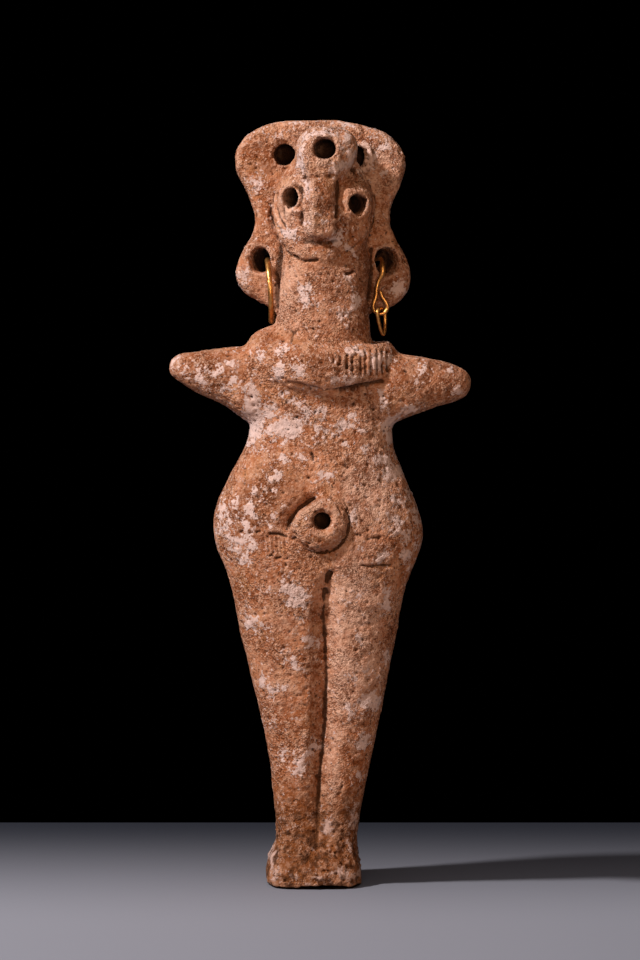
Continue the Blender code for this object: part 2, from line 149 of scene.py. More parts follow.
# Tool marks on the front: width, depth, and the x and z of points along each. A negative depth is a ridge.
# A fourth value is the width on the mark's right-hand side, where that side slopes more gently.
toolMarks = [
    (0.4, 0.6, [(-5.7, 140), (-4.4, 139.3), (-2.6, 139), (-0.7, 139.2)]),  # chin
    (0.4, 0.25, [(-0.6, 157.3), (0.9, 157.2), (2.4, 157.3)]),  # under the knob
    (0.4, 1.5, [(4, 156.2), (3.9, 154.2), (3.8, 151.8), (3.7, 148.6)]),  # right of the nose
    (0.45, 0.6, [(-3.9, 155), (-4, 152.4), (-4.1, 149), (-4.2, 147)]),  # left of the nose
    (0.9, 0.5, [(-3, 143.4), (-1, 142.8), (1.6, 142.8), (3.4, 143.4)]),  # under the nose
    (0.4, 0.5, [(-9.6, 153.4), (-9.9, 151.2), (-9.2, 148.6), (-7.9, 146.6)]),
    (0.4, 0.5, [(-10.8, 151.5), (-10.8, 149.3), (-9.9, 147), (-8.5, 145.3)]),
    (0.3, 0.35, [(-7.8, 151.2), (-8.1, 149.6), (-7.6, 148)]),
    (0.4, 0.3, [(7, 158.8), (9, 158), (10.8, 156), (11.8, 153.5), (12, 151), (11.2, 148.5)]),
    (0.4, 0.25, [(-11, 148.8), (-10.4, 146.2), (-9, 143.5), (-8, 141.6), (-6, 140)]),
    (0.4, 0.3, [(11.8, 149), (11.5, 146.4), (9.6, 143.8), (7, 141.6), (4, 140)]),
    (0.3, 0.3, [(-6, 123.4), (-6.2, 122), (-6.4, 120.6)]),  # crack at the neck
    (0.3, 0.25, [(-5.9, 123.3), (-5.3, 123.8), (-4.6, 124.2)]),
    (0.45, 0.5, [(-7.2, 112.6), (-5.9, 112.5), (-3.7, 112), (-1, 111.3), (2, 110.8), (4.6, 110.8)]),
    (0.7, 0.9, [(4.6, 110.8), (7.2, 111.2), (11, 112.2), (13.6, 112.9)]),
    (0.4, 0.2, [(13.6, 112.9), (15.1, 114.7)]),
    (0.5, 0.15, [(-0.4, 121.2), (2.2, 121.5), (5.5, 121.8), (8.6, 121.9)]),
    (0.8, 0.8, [(-8.4, 142), (-8.8, 139.8), (-9.3, 137), (-9.6, 134), (-9.7, 130.6), (-9.7, 128.8)]),
    (0.6, 0.6, [(11.5, 141.6), (11.7, 139), (11.3, 135), (10.9, 130.6)]),
    (0.35, 0.4, [(-1.8, 97), (-1.5, 96.4), (-1.6, 95.5)]),  # nicks on the chest
    (0.3, 0.25, [(-1.2, 105.8), (-0.9, 106.2)]),
    (0.7, 0.15, [(0.9, 108), (1.1, 104.5), (1.3, 100), (1.3, 96.8)]),
    (0.4, 0.6, [(-11, 79.4), (-9.2, 79.4), (-7.4, 78.9)]),  # hip lines
    (0.35, 0.4, [(-17.6, 79.5), (-17.1, 79.9)]),
    (0.35, 0.35, [(-15.6, 79.4), (-15.1, 79.6)]),
    (0.35, 0.45, [(-14, 79.7), (-13.2, 79.9)]),
    (0.35, 0.5, [(-11.1, 74.5), (-10.6, 74.7)]),
    (0.4, 0.45, [(-9.6, 74), (-8.9, 74.1)]),
    (0.3, 0.4, [(-7.9, 73.8), (-7.3, 73.9)]),
    (0.4, 0.6, [(-5.9, 78.4), (-5.4, 78.7)]),
    (0.4, 0.4, [(9.2, 72.4), (11, 72.1), (13.2, 72.3), (15.4, 72.1)]),
    (0.45, 0.35, [(7, 79.6), (8.8, 79.1)]),
    (0.4, 0.3, [(10.5, 78.2), (13.2, 78.7)]),
    (0.3, 0.4, [(-1.2, 87.2), (-2.9, 86.2), (-4.8, 84.7), (-6.3, 82.6), (-6.8, 81)]),  # by the navel
    (0.3, 0.3, [(5.5, 86.4), (6.4, 84.4), (6.7, 82.2), (5.9, 78.7), (4.1, 76.3), (2.2, 75.2), (-0.7, 75.1)]),
    (0.3, 0.4, [(4, 85.5), (4.6, 84.7), (4.7, 83.8)]),
    (0.3, 0.5, [(-3.1, 77.5), (-2.3, 77.4)]),
    (0.3, 0.4, [(-5.4, 79.6), (-4.8, 78.5)]),
    (0.45, 1.3, [(2.2, 70.6), (1.8, 69.5), (1.5, 68.4)]),  # between the legs
    (0.35, 0.8, [(1.1, 66.8), (0.9, 65.2), (0.9, 64)]),
    (0.3, 0.35, [(1, 63.7), (0.8, 60.7), (1.2, 54.9), (1.4, 49.7), (1.5, 46.1), (1.3, 42.9)], 0.55),
    (0.3, 0.45, [(1.3, 42.9), (1.3, 39.5), (1.1, 35.7), (0.7, 30.9), (0.2, 26.4)], 0.7),
    (0.35, 0.6, [(0.2, 26.4), (-0.1, 21.8), (-0.3, 17.3), (-0.4, 12.8), (-0.7, 8.8)], 0.8),
    (0.3, 0.2, [(0.9, 9.3), (2, 10.4), (3.1, 11.7)]),
    (0.45, 0.35, [(-4.8, 5.6), (-4.7, 4.3), (-4.4, 2.8)]),  # foot
    (0.4, 0.25, [(-4.7, 6), (-3.1, 6.2), (-1.6, 6)]),
    (0.35, 0.25, [(-9.9, 7.8), (-10.3, 5.8), (-10.6, 4.4), (-10.8, 2.9), (-10.1, 1.9)]),
    (0.4, 0.12, [(-3.1, 3.4), (-0.4, 4), (3.3, 4), (6.7, 3.6)]),
    (0.35, 0.35, [(18.6, 115), (19, 114.8)]),
    (0.45, 1.2, [(-10.3, 162.4), (-9.9, 163.7), (-9.1, 164.4), (-8, 164.6)]),  # broken rim of a hole
    (0.5, 0.7, [(6, 136.3), (6.7, 136.4), (7.3, 136.8)]),  # pit in the neck
    (0.5, -0.35, [(9.4, 164.9), (10.8, 163.5), (11.3, 161.8), (10.8, 160), (9.6, 158.8)]),  # lip of a hole
]

# raised rims round the eyes: x, z, radius and height
for rimX, rimZ, radius, tall in [(-5.6, 152.8, 3, 0.12), (7.4, 151.4, 3.2, 0.06)]:
    turns = [math.pi * step / 8 for step in range(17)]
    ring = [(rimX + radius * math.cos(turn), rimZ + radius * math.sin(turn)) for turn in turns]
    toolMarks.append((0.5, -tall, ring))

# a fringe of pressed strokes below the hip line: x, bottom and depth
fringe = [
    (-12.6, 76.8, 0.2), (-11.5, 75.4, 0.3), (-10.5, 75.1, 0.35), (-9.5, 74.8, 0.4), (-8.7, 75, 0.3),
    (-7.9, 75.6, 0.25),
]
for strokeX, bottom, deep in fringe:
    toolMarks.append((0.3, deep, [(strokeX, 78.8), (strokeX + 0.3, bottom)]))

# the notches pressed into the collar: x, top and bottom
notches = [
    (0.1, 117.9, 117.2), (1.8, 117.9, 117), (3, 118.3, 117), (4.4, 118.5, 116.8), (5.9, 118.8, 115.9),
    (7.1, 118.7, 115.2), (8.9, 118.9, 114.3), (9.9, 119.4, 114.3), (11.2, 119.9, 114.1),
    (12.6, 119.6, 114.1), (13.8, 119.5, 114.4), (14.8, 119.2, 115.1),
]
for notchX, top, bottom in notches:
    toolMarks.append((0.3, min(0.4, 0.22 + 0.02 * notchX), [(notchX, top), (notchX + 0.1, bottom)]))

# Holes: x, z, radius, and for two the depth y of the rim. Inside, the clay is painted near black as shade.
holes = [
    (-5.6, 152.8, 2.4), (7.5, 151.4, 2.4), (1.2, 163.3, 2.6), (-8.1, 162.3, 2.8, 1.8),
    (7.9, 161.8, 2.9, 1.8), (-13.9, 139.3, 3.2), (15.6, 139, 3), (0.5, 82.3, 2.2),
]

# Where the pale slip is left on the front: x, z, half width and half height.
slipPatches = [
    (4.5, 169.5, 1, 0.5), (7.5, 168.5, 0.8, 0.3), (-13.5, 156, 1, 1), (14, 158, 0.6, 0.5),
    (14, 164, 1.3, 0.6), (9.5, 164, 0.8, 0.7), (11, 162, 0.6, 1.6), (10, 159.5, 0.8, 0.7),
    (-6.5, 145, 1, 0.7), (4, 144, 1, 1), (6.3, 141.6, 0.6, 0.5), (7.2, 139.8, 0.3, 0.6),
    (3.6, 167, 0.8, 0.5), (-3.5, 133, 1.1, 0.9), (-3, 130, 0.9, 1.6), (7.5, 130.5, 0.6, 1.6),
    (4, 128, 0.9, 0.9), (6.5, 135, 0.7, 0.4), (-17, 135.5, 1.3, 1.6), (17.5, 132.5, 1.1, 1.6),
    (-8.5, 120, 1.1, 1.1), (-9, 115.5, 0.9, 1.8), (-13.5, 119, 1.3, 0.9), (-4.5, 115.5, 1.1, 0.9),
    (8, 119.5, 0.9, 0.8), (6.5, 113, 1.1, 0.8), (15, 117, 0.9, 1.1), (-26.5, 113.5, 1.1, 1.3),
    (-22.5, 114, 0.7, 0.8), (-20, 116.5, 1.6, 0.4), (-31.5, 117, 0.7, 1.1), (-29.5, 115, 0.9, 0.7),
    (-21, 111.5, 0.9, 0.7), (-18.5, 113, 0.7, 0.7), (-14.8, 105.5, 1.8, 6), (-14.6, 107, 1.4, 3),
    (-14.9, 103.5, 1.2, 3), (-7, 103, 4.2, 2.2), (-11, 106, 1.6, 1.6), (-8, 109.5, 0.9, 0.6),
    (-5, 108, 0.6, 0.8), (-3, 106.5, 0.9, 0.7), (0.5, 106.5, 0.6, 0.9), (0, 102.5, 0.7, 1.3),
    (-7.5, 96, 0.7, 0.9), (-4, 96, 1.3, 0.4), (-10, 92, 1, 0.8), (0, 92.5, 0.9, 0.5), (2, 92.5, 0.9, 0.5),
    (7, 105, 1, 0.5), (7, 103.5, 0.9, 0.6), (4.5, 103, 0.9, 1), (9.5, 102, 0.8, 0.6), (13.5, 110, 0.9, 1),
    (13, 95.5, 1.6, 1), (15, 95, 0.7, 1.3), (15.5, 92.5, 2.4, 1.1), (15, 103.5, 1.6, 1.6),
    (15.5, 100, 0.7, 1.6), (22.5, 115, 0.4, 1), (21, 113, 0.6, 0.6), (28.5, 115, 0.7, 0.6),
    (30, 110.5, 1.2, 0.6), (18.5, 106, 1.1, 0.7), (20.5, 106.5, 0.7, 0.6), (-15.3, 85, 0.9, 1.3),
    (-16, 81.5, 0.9, 0.8), (-14, 83, 0.4, 0.4), (-18.5, 86.5, 0.8, 0.8), (-21.5, 84, 0.4, 1),
    (-21, 80.5, 0.9, 0.8), (-20, 78, 0.6, 0.7), (-19, 75.5, 0.9, 1), (-17.5, 73, 2.8, 0.35),
    (-17.5, 78, 0.5, 0.5), (-13, 86.8, 0.5, 0.4), (-11.5, 81, 0.4, 0.5), (-14.5, 76.5, 0.4, 0.4),
    (-10, 83, 0.7, 0.7), (-8.2, 84.5, 0.5, 0.7), (-0.6, 90.8, 0.9, 0.5), (0.6, 91.6, 0.6, 0.4),
    (7.5, 83, 0.7, 1.3), (19, 86.5, 0.9, 1.6), (16.5, 86.5, 0.7, 0.9), (17.5, 82, 1.3, 0.9),
    (21, 83, 0.9, 1.6), (19.5, 78.5, 0.9, 0.8), (19, 74.5, 0.7, 1.8), (13.5, 74.5, 1.3, 1.1),
    (3.4, 79.2, 0.2, 0.6), (-7, 67, 2.2, 1.3), (-5, 65, 1.8, 2), (-3.5, 63.6, 1, 1), (-15, 59, 1.3, 1.1),
    (-2, 55, 1.3, 1), (-5.5, 52, 0.8, 0.7), (-4.5, 49.5, 0.9, 1.1), (-10.5, 44, 0.8, 1.1),
    (-12.5, 46, 0.7, 1.3), (-7.5, 45, 0.9, 0.7), (14.5, 64, 0.9, 2.7), (14.5, 51.5, 0.6, 1.3),
    (8.5, 65.5, 0.9, 0.5), (8.5, 56.5, 0.9, 0.9), (7, 47, 0.8, 0.6), (11.5, 41.5, 1.6, 2),
    (6.5, 39, 0.9, 0.9), (10, 49, 0.7, 0.7), (-5, 27.5, 1.1, 1.7), (-1.5, 31, 1.3, 0.9),
    (-8.5, 29, 0.7, 0.9), (10, 32, 1.1, 1.6), (9, 24, 1.1, 0.9), (7.5, 14.5, 0.6, 2.2), (2, 13, 0.9, 0.9),
    (6.5, 9, 0.6, 1.1), (-10.5, 5, 0.4, 2.7), (-6.5, 3, 0.9, 0.7), (-10.8, 7.2, 0.6, 1.4),
    (-10, 3, 0.7, 1), (8.5, 2.8, 1.2, 0.7), (4.5, 3.3, 1.5, 0.5), (0.5, 2.4, 0.8, 0.4),
    (11, 161.8, 0.4, 2.4), (3.6, 166.5, 1.6, 0.7), (5.6, 164, 0.6, 1.6), (-2.8, 166, 0.8, 1),
    (0, 166.8, 1.6, 0.5), (6.6, 162, 0.5, 1.5), (4.8, 159.5, 0.8, 0.8), (2.5, 158.8, 0.6, 0.4),
    (-4, 161, 0.4, 3), (-3, 155, 0.2, 1.4), (-2.8, 147, 0.3, 0.8), (0.5, 147.4, 0.6, 0.6),
    (12.3, 117, 0.5, 1.6), (13.4, 117, 0.3, 1.8), (3.3, 113.2, 0.8, 0.5), (5.5, 99, 0.5, 0.4),
    (10.2, 98, 0.5, 0.4), (13.5, 107.5, 0.5, 0.8), (-13.8, 89, 0.6, 0.5),
]

# Broad stains and paler places on the front, partly real and partly painted light and painted shade: x, z,
# half width, half height and how pale (dark below 0).
stainsLightAndShade = [
    (-7.5, 149, 2.2, 5, 0.9), (-7, 156.5, 2.5, 1.6, 0.5), (-6.5, 132, 3.5, 7, 0.8),
    (-2, 143.5, 4, 1.5, 0.3), (1.2, 152.8, 2.2, 3.6, -1.5), (0.6, 147.8, 2, 2, 0.4),
    (-12, 161, 4, 6, -0.7), (1, 146.3, 2, 1.3, 0.4), (0.5, 162.5, 6, 5.5, 0.8), (-4, 162.5, 0.9, 5, 0.8),
    (13, 159, 6, 6, 0.9), (-2.6, 150, 0.9, 6.5, 2), (2.6, 150.5, 1, 6, -0.9), (0, 168, 11, 2.2, 0.1),
    (3.6, 146, 1.2, 3, -0.6), (0.5, 142, 2.5, 1, -0.5), (9.5, 131, 2.2, 7, -1.3), (2, 134, 3.5, 6, -0.8),
    (15.5, 134, 4, 5, -0.9), (2, 101, 5, 5, -0.4), (1.5, 116.5, 6, 3.5, -1), (24, 113, 7, 4, -0.8),
    (-13, 119, 4, 3, 0.1), (-24, 115, 7, 3.5, -1.2), (-17, 83, 5.5, 7, -0.8), (-24, 114, 8, 3, -0.6),
    (-9, 88, 5, 8, -0.9), (-7, 105, 5, 3, 0.5), (25, 114, 6, 4, -0.7), (10, 88, 5.5, 8, 1.1),
    (16, 85, 4, 5, 0.35), (9, 66, 5.5, 8, 0.95), (5, 58, 3.5, 14, 0.6), (10, 50, 4.5, 10, 1.1),
    (-9, 63, 5, 7, 0.4), (-10, 46, 4, 8, 0.4), (3.5, 38, 2.5, 12, 0.5), (2.5, 22, 2, 9, 0.55),
    (-4, 29, 3, 4, 0.4), (4, 11.5, 2.5, 3, 0.4), (-4, 12, 4, 4, -0.35), (4, 6.5, 4, 2, -0.45),
    (4.5, 2.6, 5, 1.2, 0.5), (-7.2, 6, 2.4, 2, -0.9), (-0.5, 5.2, 3, 1.3, -0.9), (6.5, 6.5, 4, 1.6, -0.9),
    (8.5, 11, 2, 4, -0.5), (1, 8.5, 5, 2, -0.4), (-16, 102, 3, 5, 0.6), (12, 102, 4, 6, 0.5),
    (-5, 122, 2, 2, -0.3), (12.5, 117, 3, 2, 0.4),
]

# Blocks of clay with flat sides: each is a stack of outlines from the bottom up, a height and the x and y
# of the outline's corners.
noseBlock = [
    (144.4, [(-2.8, -7), (-1.4, -9.4), (2.6, -8.6), (3, -7)]),
    (145.4, [(-3.5, -8), (-1.4, -12.3), (2.9, -10.6), (3.5, -8)]),
    (148, [(-3.7, -8), (-1.4, -13), (3, -11.1), (3.5, -8)]),
    (152.5, [(-3.8, -7), (-1.5, -12.7), (3.1, -10.8), (3.5, -7)]),
    (157, [(-3.9, -6), (-1.6, -12.1), (3.2, -10.2), (3.8, -6)]),
]
knobBlock = [
    (156, [(-3.5, -5), (-1.9, -10.9), (1, -10.9), (3.1, -10.2), (4.2, -8.4), (4.6, -5.5), (4.8, -2)]),
    (158.2, [(-4.5, -5), (-2.6, -11.5), (1.2, -11.5), (3.8, -10.3), (5.6, -8), (6.5, -5), (6.8, -2)]),
    (160.4, [(-5.3, -5), (-3.5, -11.5), (1.5, -11.6), (4.6, -10.2), (6.6, -7.6), (7.6, -4.6), (8, -1.5)]),
    (163.5, [(-5.4, -4), (-3.8, -11), (1.6, -11.2), (4.8, -9.8), (6.9, -7.2), (8, -4), (8.3, -1)]),
    (166, [(-4.8, -3), (-3, -10), (1.5, -10.1), (4, -8.8), (6, -6.2), (7, -3.4), (7.4, 0)]),
    (168.2, [(-2.6, -1), (-1.4, -7.4), (1, -7.5), (2.8, -6.6), (4.2, -4.6), (5, -2.4), (5.2, 0)]),
]
rimBlock = [
    (158.6, [(8.6, 4), (8.8, 1.7), (10.4, 1.5), (10.6, 4)]),
    (160, [(9.5, 4), (9.7, 1.3), (11.2, 1.2), (11.4, 4)]),
    (161.8, [(9.8, 4), (10, 1.2), (11.6, 1.1), (11.8, 4)]),
    (163.6, [(9.5, 4), (9.7, 1.3), (11.2, 1.2), (11.4, 4)]),
    (165, [(8.6, 4), (8.8, 1.7), (10.4, 1.5), (10.6, 4)]),
]
# Holes in the blocks: start, end, and the radius at each.
blockHoles = [
    ((0.9, -13, 163.4), (1.4, -3, 163.2), 2.65, 2.2),
    ((-8.1, -12, 162.3), (-7.6, 6, 162.5), 2.8, 2.3),
]

# The flat front of the nose: a point on it, its slopes along x and z, and where it ends.
nose = {
    "x": -1.4, "y": -12.8, "z": 148, "turn": 0.38, "lean": 0.04, "most": 1.6,
    "across": (-2.4, 4.2), "up": (144.8, 157), "ahead": -7,
}
# The boss round the navel falls away at its lower right and dips to its hole.
navel = {
    "x": 0.1, "z": 81.6, "radius": 6.5, "crown": 3.2, "ahead": -8,
    "fall": 0.9, "fallWay": (0.8, -0.6), "fallStart": (-1, 4),
    "holeX": 0.5, "holeZ": 82.3, "holeRadius": 1.6, "dish": 0.8, "dishRadius": 3.1,
}
# The groove above the boss, and a point on the belly with its slopes along x and z.
groove = {
    "path": [
        (0.6, 87.9), (-0.9, 87.3), (-2.9, 86.2), (-4.8, 84.7), (-6.3, 82.6), (-7.1, 80.6), (-7.5, 79.4),
    ],
    "deep": 1.5, "ease": 1.3, "wall": 4.0,
    "bellyX": -5, "bellyY": -9.8, "bellyZ": 86, "turn": -0.09, "lean": 0.03,
    "across": (-12, 4), "up": (75, 93), "ahead": -7,
}
# Heights and x of the line between the legs, heights and depths of their rounding, and its widths.
legs = {
    "line": ([0, 9, 21, 31, 43, 55, 65, 71], [-0.9, -0.8, -0.1, 0.7, 1.3, 1.2, 1.1, 1.6]),
    "deep": ([4, 12, 30, 55, 66, 76], [0, 1.0, 1.5, 1.5, 1.0, 0]),
    "left": 4.2,
    "right": 3.2,
}
wear = {
    "rim": 0.6,  # how far the holes' rims are worn back
    "rimPatch": 2.2,
    "rimReach": 0.9,
    "base": 0.45,  # how far the base's front edge is worn up
    "baseHeight": 2.2,
    "baseMiddle": 1.5,
}

skin = {
    "voxel": 0.27,  # size of the grid that the skin is sculpted on
    "soften": 44,  # rounds of smoothing that take the flat faces away
    "crisp": 1.3,  # the smoothing fades within this distance of a sharp edge
    "sharpAngle": 42,
    "lumps": [(9.0, 0.24, 3), (3.0, 0.17, 3), (1.1, 0.13, 2)],  # size, height, octaves
    "pits": 3800,
    "pitSize": (0.25, 0.52),
    "pitDepth": (0.12, 0.38),
    "crumbs": 260,  # clusters of pale grains
    "crumbSpread": (0.5, 1.5),
    "crumbGrains": (3, 16),
    "crumbSize": (0.22, 0.46),
    "crumbHeight": (0.08, 0.22),
    "crumbSlip": 0.22,
    "markRagged": 0.4,  # how much a tool mark's width wanders, and its depth, if fine or broad
    "markFine": 0.8,
    "markBroad": 0.3,
    "slipLeast": 0.24,  # how sure the slip is all over, and how much surer where more is left
    "slipMore": 0.14,
    "slipPeak": 0.68,  # how sure it is in a patch, and how much surer in a large one
    "slipLarge": 0.2,
    "slipLift": 0.06,
    "hiddenSlip": 150,  # patches of slip on the sides and back
    "hollowRounds": 30,  # rounds of smoothing to measure the hollows by
    # how much the tool marks deepen the hollows, and so the soil and painted shade in them
    "markShade": 0.12,
    "triangles": 196000,
    "seed": 7,
    "wander": 1795343973,  # a seed too, for how the edges of the slip wander
}


def stackBlock(rows):
    # the lowest outline as a face, pulled up through the other outlines
    block = bmesh.new()
    height, outline = rows[0]
    top = block.faces.new([block.verts.new(Vector((x, y, height)) * mm) for x, y in outline])
    for height, corners in rows[1:]:
        grown = bmesh.ops.extrude_face_region(block, geom=[top])
        top = next(item for item in grown["geom"] if isinstance(item, bmesh.types.BMFace))
        for vertex in top.verts:
            near = min(range(len(outline)), key=lambda k: math.dist(vertex.co.xy / mm, outline[k]))
            vertex.co = Vector((*corners[near], height)) * mm
        outline = corners
    bmesh.ops.recalc_face_normals(block, faces=block.faces)
    return block


def addBlocks(piece):
    # the blocks, with their holes cut, join the copied clay; the skin's grid fuses them
    shape = bmesh.new()
    for rows in (noseBlock, knobBlock, rimBlock):
        block = makeMesh("block", stackBlock(rows))
        shape.from_mesh(block)
        bpy.data.meshes.remove(block)
    blocks = addObject("blocks", makeMesh("blocks", shape))
    cutters = []
    for start, end, wide, narrow in blockHoles:
        start = Vector(start) * mm
        end = Vector(end) * mm
        hole = bmesh.new()
        aim = (end - start).to_track_quat("Z", "X").to_matrix().to_4x4()
        place = Matrix.Translation((start + end) / 2) @ aim
        bmesh.ops.create_cone(
            hole, cap_ends=True, segments=32, radius1=wide * mm, radius2=narrow * mm,
            depth=(end - start).length, matrix=place,
        )
        cutters.append(addObject("hole", makeMesh("hole", hole)))
        cut = blocks.modifiers.new("hole", "BOOLEAN")
        cut.operation = "DIFFERENCE"
        cut.object = cutters[-1]
        cut.use_self = True
    shape = bmesh.new()
    shape.from_mesh(piece.data)
    shape.from_mesh(inOrder(settle(blocks)))
    shape.to_mesh(piece.data)
    shape.free()
    for item in [blocks, *cutters]:
        bpy.data.objects.remove(item)


def nosePlane(points):
    x, y, z = points.T
    plane = nose["y"] + nose["turn"] * (x - nose["x"]) + nose["lean"] * (z - nose["z"])
    return np.clip(plane - y, 0, nose["most"]) * inBox(points, nose)


def bossRounding(points):
    x, y, z = points.T
    out = np.hypot(x - navel["x"], z - navel["z"])
    wayX, wayZ = navel["fallWay"]
    lower = fade(wayX * (x - navel["x"]) + wayZ * (z - navel["z"]), *navel["fallStart"])
    rounded = navel["fall"] * lower * fade(out, navel["crown"], navel["radius"]) * (out < navel["radius"])
    hole = np.hypot(x - navel["holeX"], z - navel["holeZ"])
    dish = navel["dish"] * fade(hole, navel["dishRadius"], navel["holeRadius"])
    return (rounded + dish) * (y < navel["ahead"])


def alongPath(spots, path):
    # each spot's distance to the path, how far along it that is (0 to 1), and whether it lies to the right
    away = np.full(len(spots), np.inf)
    share = np.zeros(len(spots))
    right = np.zeros(len(spots), bool)
    for step in range(len(path) - 1):
        along = path[step + 1] - path[step]
        t = np.clip(((spots - path[step]) @ along) / (along @ along), 0, 1)
        offset = spots - path[step] - t[:, None] * along
        length = np.linalg.norm(offset, axis=1)
        closer = length < away
        away[closer] = length[closer]
        share[closer] = ((step + t) / (len(path) - 1))[closer]
        right[closer] = (along[0] * offset[:, 1] - along[1] * offset[:, 0])[closer] < 0
    return away, share, right


def bossGroove(points):
    # a steep wall beside the boss, a slope on the belly's side
    push = np.zeros(len(points))
    near = inBox(points, groove)
    spots = points[near]
    away, share, right = alongPath(spots[:, [0, 2]], np.array(groove["path"]))
    belly = groove["bellyY"] + groove["turn"] * (spots[:, 0] - groove["bellyX"])
    belly += groove["lean"] * (spots[:, 2] - groove["bellyZ"])
    slope = groove["deep"] * np.exp(-((away / groove["ease"]) ** 2))
    level = belly + np.where(right, slope, groove["deep"] - groove["wall"] * away)
    ends = fade(share, 0, 0.25) * fade(share, 1, 0.7) * fade(away, 3, 2)
    push[near] = np.maximum(level - spots[:, 1], 0) * ends
    return push


def rimWear(points):
    # the rims of the holes are worn back unevenly
    worn = np.zeros(len(points))
    for x, z, radius, *edge in holes:
        away = np.hypot(points[:, 0] - x, points[:, 2] - z)
        rim = np.where(between(away, radius - 0.6, radius + 1.2) & (points[:, 1] < 6))[0]
        uneven = fade(grainAt(points[rim] * [1, 0, 1], wear["rimPatch"], 2, 9), -0.1, 0.5)
        depth = wear["rim"] * uneven * fade(away[rim], radius + wear["rimReach"], radius)
        worn[rim] = np.maximum(worn[rim], depth)
    return worn


def baseWear(points):
    # the front edge of the base is worn up a little from the ground
    worn = fade(points[:, 2], wear["baseHeight"], 0.2) * fade(-points[:, 1], 3, 7)
    return wear["base"] * worn * (1 - 0.7 * fade(np.abs(points[:, 0] - wear["baseMiddle"]), 7, 3))


def legRounding(points):
    # the right leg rises steeply from the line between them, the left one falls slowly to it
    x, y, z = points.T
    line = np.interp(z, *legs["line"])
    deep = np.interp(z, *legs["deep"])
    wide = np.where(x < line, legs["left"], legs["right"])
    return deep * fade(-y, 1, 6) / (1 + ((x - line) / wide) ** 2)


def markDepth(points, front):
    # how far the tool marks sink each point
    depth = np.zeros(len(points))
    flat = points[:, [0, 2]]
    for width, deep, path, *gentle in toolMarks:
        path = np.array(path, float)
        widest = max([width, *gentle])
        low = path.min(0) - 3 * widest
        high = path.max(0) + 3 * widest
        near = np.where(between(flat, low, high).all(1) & (front > 0))[0]
        if len(near) == 0:
            continue
        spots = flat[near]
        away, share, right = alongPath(spots, path)
        ragged = np.array([noise.noise(Vector((p[0], p[1], 5 * width)) * 0.35) for p in spots])
        reach = np.where(right, widest, width) * (1 + skin["markRagged"] * ragged)
        rough = skin["markFine"] if widest < 0.5 else skin["markBroad"]
        cut = deep * (1 + rough * ragged) * np.exp(-((away / reach) ** 2) * 1.3)
        cut *= front[near]
        if deep > 0:
            depth[near] = np.maximum(depth[near], cut)
        else:
            depth[near] += cut
    return depth


def slipCover(points, normals, hidden):
    # how sure the slip is at each point, 0 to 1: a little everywhere, most of it in the patches
    noise.seed_set(skin["wander"])  # otherwise the clock sets it
    warp = [
        1.2 * noise.noise_vector(Vector(p) / 2.2) + 0.6 * noise.noise_vector(Vector(p) / 0.8)
        for p in points
    ]
    places = points + np.array(warp)  # so the patches' edges wander
    x, y, z = places.T
    hips = hump(z, 80, 9) * fade(np.abs(x), 6, 17)
    arm = 0.15 * (hump(z, 114, 5) * fade(np.abs(x), 14, 20)) * (x < 0)
    chest = hump(z, 104, 6) * fade(-x, -6, 4)
    crown = fade(z, 162, 168)
    cover = skin["slipLeast"] + skin["slipMore"] * np.maximum.reduce([hips, arm, chest, crown])
    facing = normals[:, 1] < 0.15
    for spotX, spotZ, wide, high in slipPatches:
        near = facing & (np.abs(x - spotX) < 2 * wide + 2) & (np.abs(z - spotZ) < 2 * high + 2)
        reach = np.hypot((x[near] - spotX) / (wide + 0.35), (z[near] - spotZ) / (high + 0.35))
        peak = skin["slipPeak"] + skin["slipLarge"] * min(1, wide * high / 4)
        cover[near] = np.maximum(cover[near], 0.25 + (peak - 0.25) * np.exp(-(reach ** 2) * 0.8))
    for spot, radius, near in hidden:
        reach = np.linalg.norm(places[near] - spot, axis=1) / radius
        cover[near] = np.maximum(cover[near], skin["slipPeak"] * np.exp(-(reach ** 2) * 0.8))
    return cover


def stainLightAndShadeTone(points, normals):
    # how pale (above 0) or dark (below 0) the clay is at each point: real stains, and painted light and
    # painted shade
    tone = np.zeros(len(points))
    front = fade(-normals[:, 1], -0.3, 0.3)
    for x, z, wide, high, amount in stainsLightAndShade:
        reach = np.hypot((points[:, 0] - x) / wide, (points[:, 2] - z) / high)
        tone += amount * np.exp(-(reach ** 2) * 0.9) * front
    return tone


def paintHoleShade(points, normals):
    # painted shade inside the holes: 0 at a hole's rim, 1 deep inside it, a little less on its left wall
    holeShade = np.zeros(len(points))
    for x, z, radius, *edge in holes:
        away = np.hypot(points[:, 0] - x, points[:, 2] - z)
        ring = between(away, radius, radius + 0.7) & (normals[:, 1] < -0.5)
        rim = edge[0] if edge else np.percentile(points[ring, 1], 30)
        inside = (away < radius + 0.5) & (points[:, 1] < 8)
        depth = fade(points[inside, 1] - rim, 0.6, 3.5)
        left = fade((x - points[inside, 0]) / radius, 0, 0.8)
        holeShade[inside] = np.maximum(holeShade[inside], depth * (1 - 0.22 * left))
    return holeShade


def sharpSpots(mesh):
    # a tree of spots along the edges that stay crisp
    shape = bmesh.new()
    shape.from_mesh(mesh)
    sharp = kdtree.KDTree(4 * len(shape.edges))
    least = math.radians(skin["sharpAngle"])
    for edge in shape.edges:
        if len(edge.link_faces) == 2 and edge.calc_face_angle(0) > least:
            for step in (0.0, 0.33, 0.67, 1.0):
                sharp.insert(edge.verts[0].co.lerp(edge.verts[1].co, step) / mm, edge.index)
    shape.free()
    sharp.balance()
    return sharp


